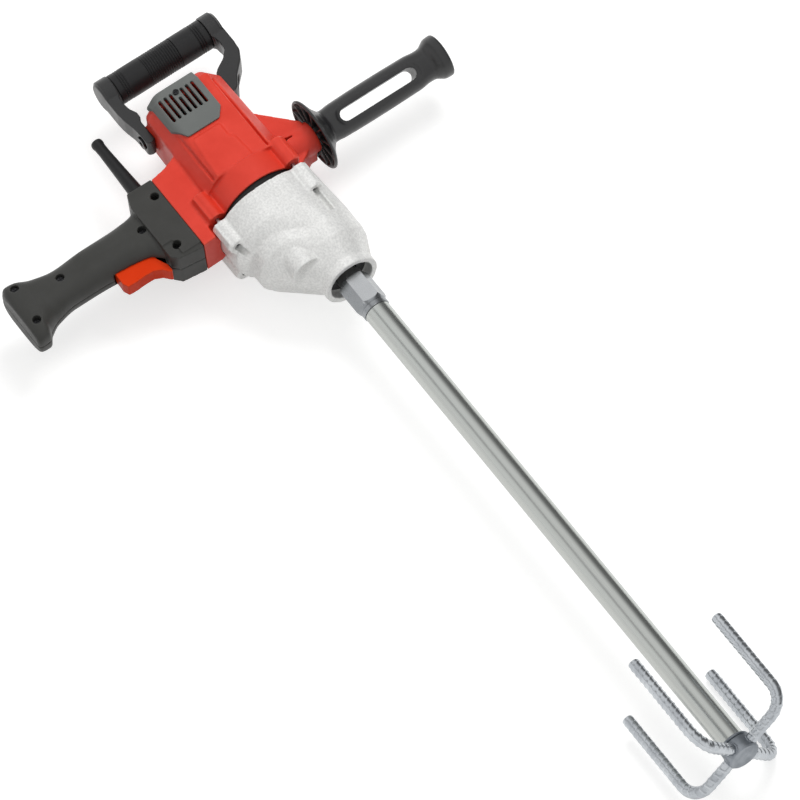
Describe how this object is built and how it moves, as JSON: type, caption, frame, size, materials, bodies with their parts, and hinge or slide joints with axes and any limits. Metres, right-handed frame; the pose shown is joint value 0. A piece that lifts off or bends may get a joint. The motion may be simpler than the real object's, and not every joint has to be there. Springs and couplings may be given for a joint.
{
  "type": "mixing drill",
  "caption": "Two-handed mixing drill with D handle, side handle, pistol grip and trigger, geared motor, and a long rod with a ribbed paddle.",
  "frame": {"origin": "centre of the nose's front rim, on the spindle axis", "axes": "+X along the spindle towards the paddle, +Y from the pistol grip to the side handle, +Z out of the vented face"},
  "size_m": [0.917, 0.462, 0.1126],
  "materials": {
    "red_nylon": "moulded glass-filled nylon, fine grain, satin",
    "grey_nylon": "moulded nylon, fine grain",
    "vent_grey": "moulded nylon, matt",
    "black_nylon": "moulded nylon, satin",
    "black_rubber": "soft moulded rubber",
    "orange_plastic": "moulded acetal",
    "cast_aluminium": "sand-cast, lightly blasted",
    "plate_aluminium": "cast, black coated",
    "zinc_steel": "bright zinc-plated steel",
    "rebar_steel": "bluish zinc-plated ribbed bar",
    "gear_steel": "hardened, oiled",
    "bearing_steel": "ground",
    "screw_steel": "black zinc",
    "lamination_steel": "stacked laminations",
    "copper": "enamelled copper wire and segments",
    "brush_brass": "drawn brass",
    "carbon": "pressed carbon graphite"
  },
  "bodies": {
    "root": {"motor_housing": "red_nylon", "rear_vent_cover": "vent_grey", "vent_cover_screws": "zinc_steel", "gear_housing": "cast_aluminium", "gear_plate": "plate_aluminium", "housing_screws": "zinc_steel", "stator_core": "lamination_steel", "field_windings": "copper", "motor_bearing_outer_rings": "bearing_steel", "brush_holders": "brush_brass", "carbon_brushes": "carbon", "layshaft_bearing_outer_ring": "bearing_steel", "layshaft_needle_bush": "bearing_steel", "spindle_bearing_outer_rings": "bearing_steel", "spindle_seal": "black_rubber", "d_handle_frame": "black_nylon", "d_handle_grip_sleeve": "black_rubber", "d_handle_bolts": "screw_steel", "side_handle_grip": "black_nylon", "side_handle_stud": "zinc_steel", "grip_shell_vent_side": "grey_nylon", "grip_shell_back_side": "grey_nylon", "grip_screws": "screw_steel", "switch_module": "black_nylon", "cord_sleeve": "black_rubber"},
    "spindle": {"output_spindle": "gear_steel", "spindle_gear": "gear_steel", "spindle_circlip": "screw_steel", "spindle_bearing_inner_rings": "bearing_steel", "rod_adaptor": "zinc_steel", "mixing_rod": "zinc_steel", "paddle_hub": "rebar_steel", "paddle_arm_1": "rebar_steel", "paddle_arm_2": "rebar_steel", "paddle_arm_3": "rebar_steel", "paddle_arm_4": "rebar_steel"},
    "layshaft_set": {"layshaft": "gear_steel", "first_stage_gear": "gear_steel", "layshaft_bearing_inner_ring": "bearing_steel"},
    "armature": {"motor_shaft": "gear_steel", "armature_core": "lamination_steel", "armature_windings": "copper", "commutator": "copper", "cooling_fan": "black_nylon", "motor_bearing_inner_rings": "bearing_steel"},
    "trigger_key": {"trigger": "orange_plastic"}
  },
  "joints": [
    {"name": "spindle_turn", "type": "hinge", "parent": "root", "child": "spindle", "pos_m": [0, 0, 0], "axis": [1, 0, 0], "continuous": true},
    {"name": "layshaft_turn", "type": "hinge", "parent": "root", "child": "layshaft_set", "pos_m": [-0.08, -0.0307, 0.01881], "axis": [1, 0, 0], "continuous": true},
    {"name": "armature_turn", "type": "hinge", "parent": "root", "child": "armature", "pos_m": [-0.16, -0.01869, -0.00198], "axis": [1, 0, 0], "continuous": true},
    {"name": "trigger_press", "type": "slide", "parent": "root", "child": "trigger_key", "axis": [-1, 0, 0], "range_m": [0, 0.007], "stiffness_N_per_m": 600, "springref_m": -0.01}
  ],
  "couplings": [
    {"joint": "layshaft_turn", "follows": "spindle_turn", "ratio": -3},
    {"joint": "armature_turn", "follows": "spindle_turn", "ratio": 11.4}
  ]
}
